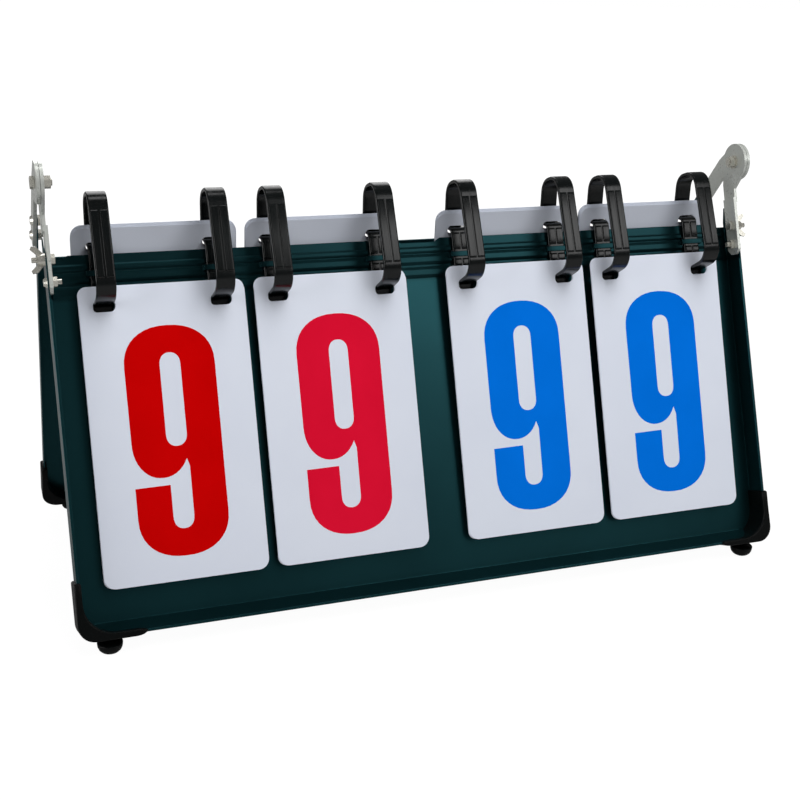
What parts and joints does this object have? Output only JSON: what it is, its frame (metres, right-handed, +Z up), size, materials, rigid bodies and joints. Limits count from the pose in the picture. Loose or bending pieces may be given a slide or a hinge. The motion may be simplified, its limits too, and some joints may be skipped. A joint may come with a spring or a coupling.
{
  "type": "tabletop flip scoreboard",
  "caption": "Tabletop flip scoreboard: number cards on ring loops hang on a folding A-frame of green sheet-metal boards with plated side arms and black corner feet.",
  "frame": {"origin": "on the table, in the middle of the footprint of the opened stand", "axes": "+X to the right along the boards as seen from the number side, +Y from the number side towards the rear board, +Z up"},
  "size_m": [0.5872, 0.2532, 0.3262],
  "materials": {
    "green_enamel": "satin dark green enamel on sheet steel",
    "ring_black": "glossy black moulded ring",
    "foot_black": "soft black moulded corner",
    "card_white": "smooth white sheet plastic",
    "arm_plated": "bright plated steel strip",
    "hardware_plated": "bright plated fastener"
  },
  "bodies": {
    "front_frame": {"clamp_bolts": "hardware_plated", "front_arm_left": "arm_plated", "front_arm_right": "arm_plated", "front_board": "green_enamel", "front_foot_left": "foot_black", "front_foot_right": "foot_black", "lower_bolts": "hardware_plated", "lower_nuts": "hardware_plated", "pivot_bolt_left": "hardware_plated", "pivot_bolt_right": "hardware_plated", "pivot_nut_left": "hardware_plated", "pivot_nut_right": "hardware_plated", "pivot_washer_left": "hardware_plated", "pivot_washer_right": "hardware_plated", "ring_1": "ring_black", "ring_2": "ring_black", "ring_3": "ring_black", "ring_4": "ring_black", "ring_5": "ring_black", "ring_6": "ring_black", "ring_7": "ring_black", "ring_8": "ring_black", "wing_nuts": "hardware_plated"},
    "rear_frame": {"rear_arm_left": "arm_plated", "rear_arm_right": "arm_plated", "rear_board": "green_enamel", "rear_bolts": "hardware_plated", "rear_foot_left": "foot_black", "rear_foot_right": "foot_black", "rear_nuts": "hardware_plated"},
    "stack_1": {"flipped_cards_1": "card_white"},
    "shown_1": {"number_card_1": "card_white", "backing_card_1": "card_white"},
    "stack_2": {"flipped_cards_2": "card_white"},
    "shown_2": {"number_card_2": "card_white", "backing_card_2": "card_white"},
    "stack_3": {"flipped_cards_3": "card_white"},
    "shown_3": {"number_card_3": "card_white", "backing_card_3": "card_white"},
    "stack_4": {"flipped_cards_4": "card_white"},
    "shown_4": {"number_card_4": "card_white", "backing_card_4": "card_white"}
  },
  "joints": [
    {"name": "rear_fold", "type": "hinge", "parent": "front_frame", "child": "rear_frame", "pos_m": [0, -0.00541, 0.31119], "axis": [1, 0, 0], "range_deg": [-34, 0]},
    {"name": "stack_swing_1", "type": "hinge", "parent": "front_frame", "child": "stack_1", "pos_m": [0, 0.00412, 0.26294], "axis": [1, 0, 0], "range_deg": [-16, 0]},
    {"name": "card_lift_1", "type": "hinge", "parent": "front_frame", "child": "shown_1", "pos_m": [0, -0.01307, 0.24709], "axis": [-1, 0, 0], "range_deg": [0, 80]},
    {"name": "stack_swing_2", "type": "hinge", "parent": "front_frame", "child": "stack_2", "pos_m": [0, 0.00412, 0.26294], "axis": [1, 0, 0], "range_deg": [-16, 0]},
    {"name": "card_lift_2", "type": "hinge", "parent": "front_frame", "child": "shown_2", "pos_m": [0, -0.01307, 0.24709], "axis": [-1, 0, 0], "range_deg": [0, 80]},
    {"name": "stack_swing_3", "type": "hinge", "parent": "front_frame", "child": "stack_3", "pos_m": [0, 0.00412, 0.26294], "axis": [1, 0, 0], "range_deg": [-16, 0]},
    {"name": "card_lift_3", "type": "hinge", "parent": "front_frame", "child": "shown_3", "pos_m": [0, -0.01307, 0.24709], "axis": [-1, 0, 0], "range_deg": [0, 80]},
    {"name": "stack_swing_4", "type": "hinge", "parent": "front_frame", "child": "stack_4", "pos_m": [0, 0.00412, 0.26294], "axis": [1, 0, 0], "range_deg": [-16, 0]},
    {"name": "card_lift_4", "type": "hinge", "parent": "front_frame", "child": "shown_4", "pos_m": [0, -0.01307, 0.24709], "axis": [-1, 0, 0], "range_deg": [0, 80]}
  ],
  "couplings": [
    {"joint": "stack_swing_1", "follows": "rear_fold", "ratio": 0.46},
    {"joint": "stack_swing_2", "follows": "rear_fold", "ratio": 0.46},
    {"joint": "stack_swing_3", "follows": "rear_fold", "ratio": 0.46},
    {"joint": "stack_swing_4", "follows": "rear_fold", "ratio": 0.46}
  ]
}
